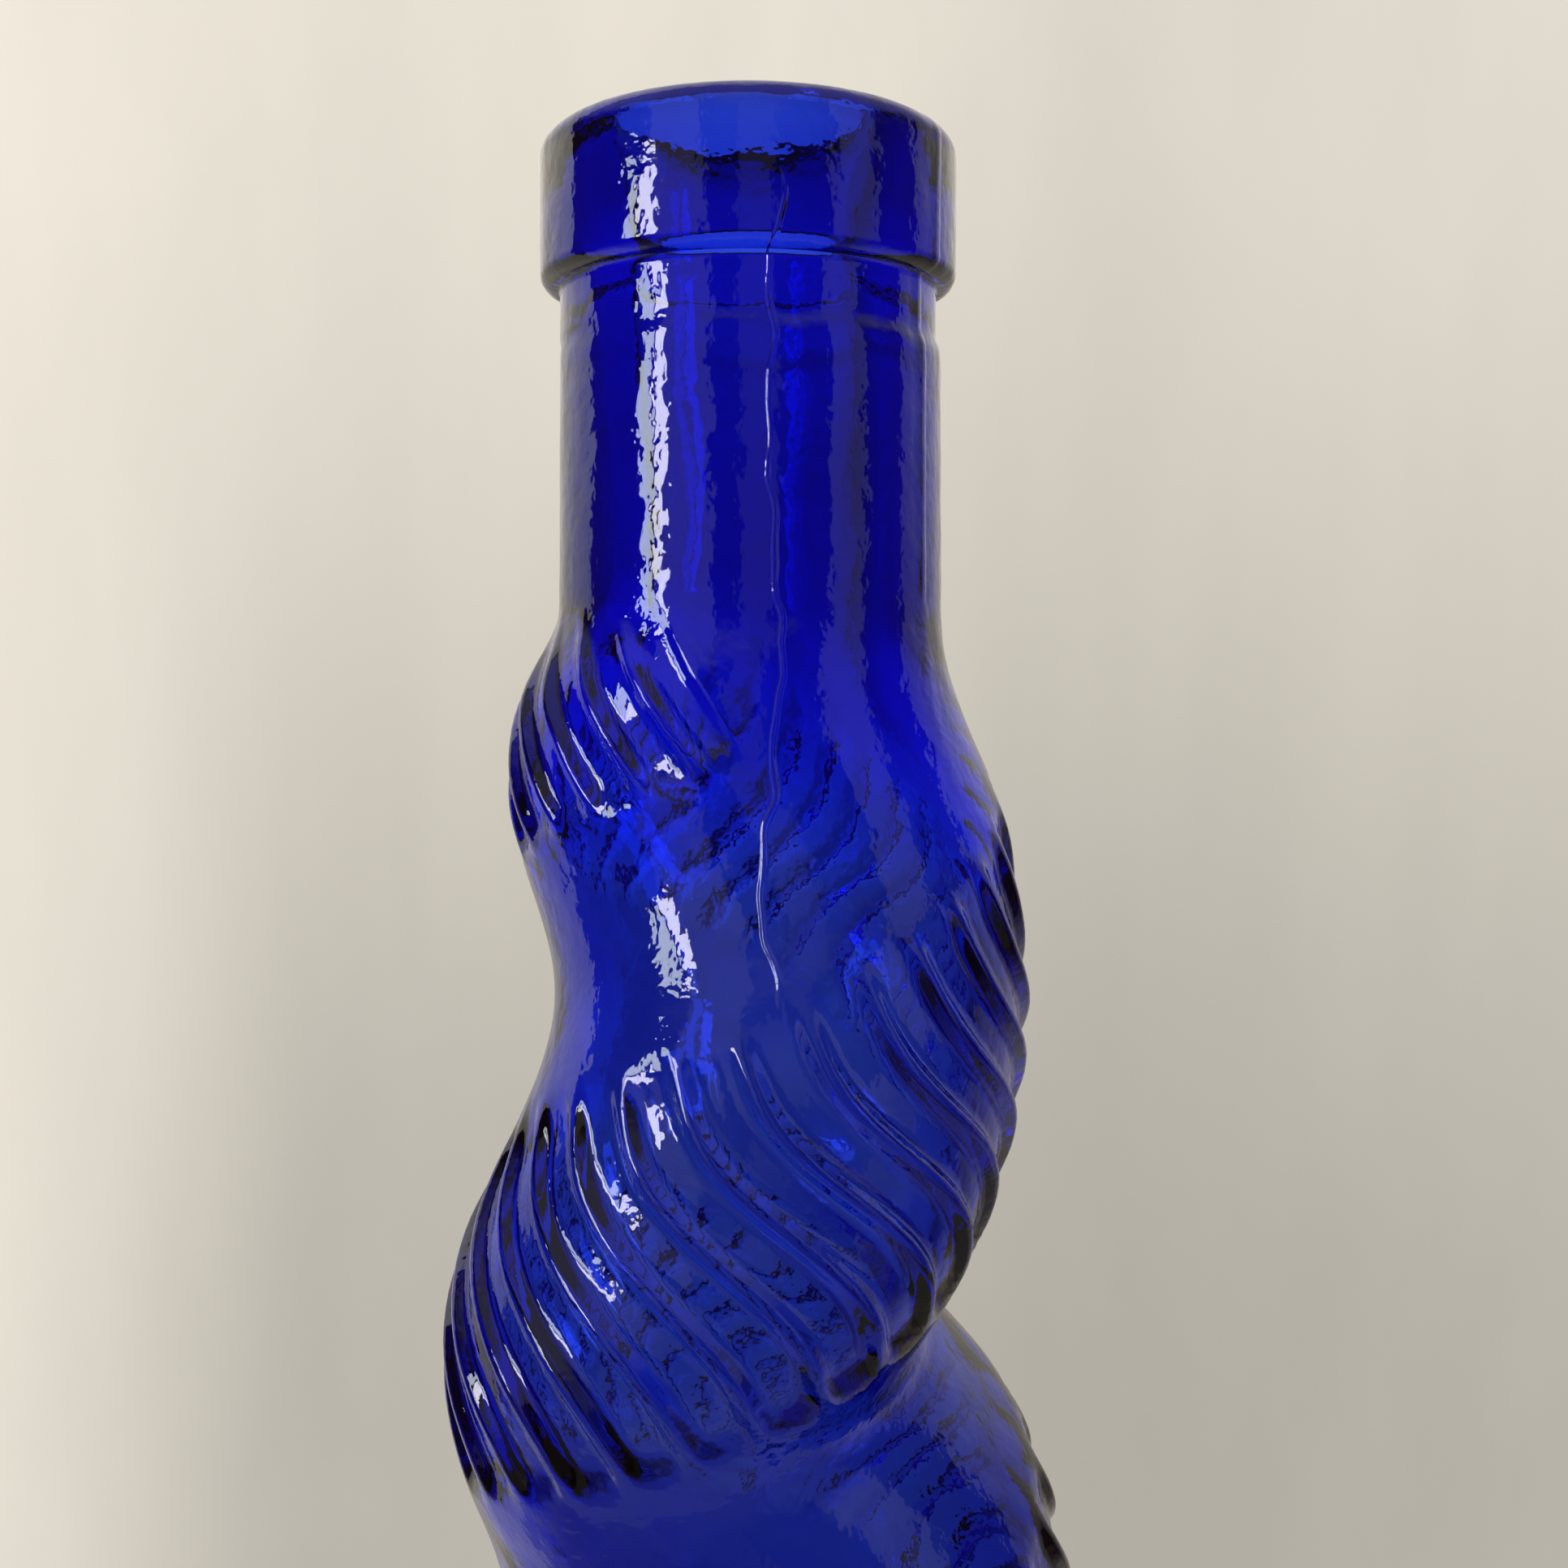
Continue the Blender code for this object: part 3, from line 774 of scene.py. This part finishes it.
class BOTTLE_OT_body(bpy.types.Operator):
    """Make the glass body"""

    bl_idname = "bottle.body"
    bl_label = "Glass Body"

    def execute(self, context):
        sizes = context.scene.bottle_sizes
        band = context.scene.bottle_band
        marks = context.scene.bottle_marks
        body = bpy.data.objects.new("bottle_glass", turned_blank(sizes, band.rib_count))
        context.scene.collection.objects.link(body)
        winding = body.modifiers.new("Wind up", "NODES")
        winding.node_group = winding_tree()
        set_inputs(winding, {
            "Height": HEIGHT,
            "Neck End": sizes.neck_end,
            "Heel Depth": HEIGHT - sizes.heel_round,
            "Pitch": band.pitch,
            "Band Azimuth": band.azimuth,
            "Band Width Share": band.width_share,
            "Band Throw": band.throw,
            "Crest Flatness": band.flatness,
            "Lead-in Angle": band.lead_angle,
            "Lead-in From": band.lead_from,
            "Lead-in To": band.lead_to,
            "Lead-in Shift": band.lead_shift,
            "Late Start": band.late_angle,
            "Late Start Length": band.late_length,
            "Rib Count": float(band.rib_count),
            "Rib Azimuth": band.rib_azimuth,
            "Rib Turn": band.rib_turn,
            "Rib Bow": band.rib_bow,
            "Rib Lean": band.rib_lean,
            "Flute Depth": band.flute_depth,
            "Flute Share": band.flute_share,
            "Flute Slope": band.flute_slope,
            "Flute End": band.flute_end,
            "Flute Rise": band.flute_rise,
            "Flute Fall": band.flute_fall,
            "Fade": band.fade,
            "Plain Foot": band.plain_foot,
            "Seam Azimuth": marks.seam_azimuth,
            "Seam Height": marks.seam_height,
            "Seam Width": marks.seam_width,
            "Seam End": marks.seam_end,
            "Ring Depth": marks.ring_depth,
            "Ring Groove": marks.ring_groove,
            "Ring Width": marks.ring_width,
            "Ring Wave": marks.ring_wave,
            "Ring Step": marks.ring_step,
            "Ring Shift": marks.ring_shift,
            "Inner Waves": marks.inner_waves,
            "Outer Waves": marks.outer_waves,
            "Glass": cobalt_glass(marks, context.scene.bottle_colours),
        })
        graph = context.evaluated_depsgraph_get()
        mesh = bpy.data.meshes.new_from_object(body.evaluated_get(graph))
        body.modifiers.clear()
        body.data = mesh
        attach(body, "root")
        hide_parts("bottle")
        return {"FINISHED"}


class BOTTLE_OT_studio(bpy.types.Operator):
    """Make the table, the wall, the lamps and the camera"""

    bl_idname = "bottle.studio"
    bl_label = "Studio"

    def execute(self, context):
        colours = context.scene.bottle_colours
        add_floor(colours)
        add_world(context.scene, colours)
        add_window_lamps()
        add_camera(context.scene)
        context.scene.view_settings.view_transform = "Standard"
        return {"FINISHED"}


def add_floor(colours):
    """A pale table top under the bottle."""
    material = bpy.data.materials.new("pale_table")
    material.use_nodes = True
    surface = material.node_tree.nodes["Principled BSDF"]
    surface.inputs["Base Color"].default_value = colours.floor
    surface.inputs["Roughness"].default_value = TABLE_ROUGHNESS
    middle = (0, 0, -TABLE_THICKNESS / 2 - TABLE_GAP)
    bpy.ops.mesh.primitive_cylinder_add(vertices=TABLE_FACETS, radius=TABLE_RADIUS,
                                        depth=TABLE_THICKNESS, location=middle)
    floor = bpy.context.object
    floor.name = "floor"
    floor.data.materials.append(material)


def wall_brightness(tree, away):
    """Nodes of the wall's light: darker low down and on the right, brighter on the far left, with
    faint upright creases."""
    x, _, z = split(tree, away)
    wall = ramp(tree, z, *WALL_UPWARD)
    left = ramp(tree, x, *WALL_LEFT)
    glow = ramp(tree, z, *WALL_LEFT_GLOW)
    left = maths(tree, "MULTIPLY_ADD", left, glow, 1.0)
    right = ramp(tree, x, *WALL_FAR_RIGHT)
    right = maths(tree, "ADD", right, ramp(tree, x, *WALL_RIGHT))
    creases = add(tree, "ShaderNodeVectorMath", (away, CREASE_WAVES), operation="MULTIPLY")
    creases = noise_at(tree, creases, 1.0, CREASE_DETAIL)
    creases = ramp(tree, creases, *CREASE_LIGHT)
    for factor in (left, right, creases):
        wall = maths(tree, "MULTIPLY", wall, factor)
    return wall


def light_between(tree, azimuth, start, end, brightness=1.0):
    """Nodes of a light between two azimuths in degrees, with soft edges."""
    start = math.radians(start)
    end = math.radians(end)
    begun = ramp(tree, azimuth, start - BAND_EDGE, start + BAND_EDGE, 0.0, brightness)
    not_ended = ramp(tree, azimuth, end - BAND_EDGE, end + BAND_EDGE, 1.0, 0.0)
    return maths(tree, "MULTIPLY", begun, not_ended)


def room_brightness(tree, away, wall):
    """Nodes of the light that the glass mirrors and bends: the wall behind, bands of light in a dark
    room in front, the table below and the ceiling above."""
    x, y, z = split(tree, away)
    azimuth = maths(tree, "ARCTAN2", y, x)
    start, full, end = WALL_SPAN
    room = light_between(tree, azimuth, start, end)
    dim = ramp(tree, azimuth, math.radians(start), math.radians(full), WALL_START_LIGHT, 1.0)
    for factor in (dim, wall, ramp(tree, z, *ROOM_UPWARD)):
        room = maths(tree, "MULTIPLY", room, factor)
    upward = ramp(tree, z, *BANDS_UPWARD)
    for start, end, brightness in ROOM_BANDS:
        band = light_between(tree, azimuth, start, end, brightness)
        room = maths(tree, "MULTIPLY_ADD", band, upward, room)
    table = ramp(tree, z, *TABLE_DOWNWARD)
    table = maths(tree, "MULTIPLY", table, ramp(tree, y, *TABLE_BACKWARD))
    room = maths(tree, "MAXIMUM", room, table)
    return maths(tree, "MAXIMUM", room, ramp(tree, z, *CEILING_UPWARD))


def add_world(scene, colours):
    """A pale room. The camera sees its wall, the glass mirrors and bends the light of the whole room,
    and everything else gets an even fill light. Between full brightness and none the room turns from
    the wall's colour to the shade's."""
    world = bpy.data.worlds.new("pale_room")
    world.use_nodes = True
    tree = world.node_tree
    tree.nodes.clear()
    away = add(tree, "ShaderNodeTexCoord", output="Generated")
    wall = wall_brightness(tree, away)
    room = room_brightness(tree, away, wall)

    path = tree.nodes.new("ShaderNodeLightPath").outputs
    by_glass = maths(tree, "MAXIMUM", path["Is Glossy Ray"], path["Is Transmission Ray"])
    over_full = maths(tree, "MAXIMUM", room, 1.0)
    strength = add(tree, "ShaderNodeMix", {"Factor": by_glass, "A": FILL_LIGHT, "B": over_full})
    strength = add(tree, "ShaderNodeMix", {"Factor": path["Is Camera Ray"], "A": strength, "B": wall})
    # A colour mix has its factor at 0 and its colours at 6 and 7, and gives its result at 2
    colour = add(tree, "ShaderNodeMix", {0: room, 6: colours.shade, 7: colours.wall}, output=2,
                 data_type="RGBA")
    colour = add(tree, "ShaderNodeMix", {0: by_glass, 6: colours.wall, 7: colour}, output=2,
                 data_type="RGBA")
    shown = add(tree, "ShaderNodeBackground", {"Color": colour, "Strength": strength})
    output = tree.nodes.new("ShaderNodeOutputWorld")
    tree.links.new(shown, output.inputs["Surface"])
    scene.world = world


def add_window_lamps():
    """A tall window on the left, of two panes side by side that face the bottle."""
    for azimuth, power, colour in WINDOW_PANES:
        lamp = bpy.data.lights.new("window_pane", "AREA")
        lamp.shape = "RECTANGLE"
        lamp.size = PANE_WIDTH
        lamp.size_y = PANE_HEIGHT
        lamp.energy = power
        lamp.color = linear(colour)[:3]
        pane = bpy.data.objects.new("window_pane", lamp)
        angle = math.radians(azimuth)
        x = WINDOW_DISTANCE * math.cos(angle)
        y = WINDOW_DISTANCE * math.sin(angle)
        pane.location = (x, y, WINDOW_HEIGHT)
        pane.rotation_euler = (math.radians(90), 0, angle + math.radians(90))
        bpy.context.scene.collection.objects.link(pane)


def add_camera(scene):
    """A close camera a little above the shoulder, looking slightly down."""
    data = bpy.data.cameras.new("camera")
    data.lens = CAMERA_LENS
    data.sensor_width = CAMERA_SENSOR
    data.shift_x = CAMERA_SHIFT
    data.clip_start = CAMERA_CLIP
    camera = bpy.data.objects.new("camera", data)
    camera.location = CAMERA_SPOT
    camera.rotation_euler = (math.radians(90 - CAMERA_DOWN), 0.0, 0.0)
    scene.collection.objects.link(camera)
    scene.camera = camera


class BOTTLE_PT_panel(bpy.types.Panel):
    """Buttons for each piece"""

    bl_label = "Twisted Glass Bottle"
    bl_idname = "BOTTLE_PT_panel"
    bl_space_type = "VIEW_3D"
    bl_region_type = "UI"
    bl_category = "Bottle"

    def draw(self, context):
        layout = self.layout
        layout.operator(BOTTLE_OT_body.bl_idname)
        layout.operator(BOTTLE_OT_studio.bl_idname)


CLASSES = (
    BottleSizes,
    BandSizes,
    MouldMarks,
    GlassColours,
    BOTTLE_OT_body,
    BOTTLE_OT_studio,
    BOTTLE_PT_panel,
)


def register():
    for item in CLASSES:
        bpy.utils.register_class(item)
    bpy.types.Scene.bottle_sizes = PointerProperty(type=BottleSizes)
    bpy.types.Scene.bottle_band = PointerProperty(type=BandSizes)
    bpy.types.Scene.bottle_marks = PointerProperty(type=MouldMarks)
    bpy.types.Scene.bottle_colours = PointerProperty(type=GlassColours)


def unregister():
    del bpy.types.Scene.bottle_colours
    del bpy.types.Scene.bottle_marks
    del bpy.types.Scene.bottle_band
    del bpy.types.Scene.bottle_sizes
    for item in reversed(CLASSES):
        bpy.utils.unregister_class(item)


def main():
    register()
    bpy.ops.bottle.body()
    bpy.ops.bottle.studio()


if __name__ == "__main__":
    main()
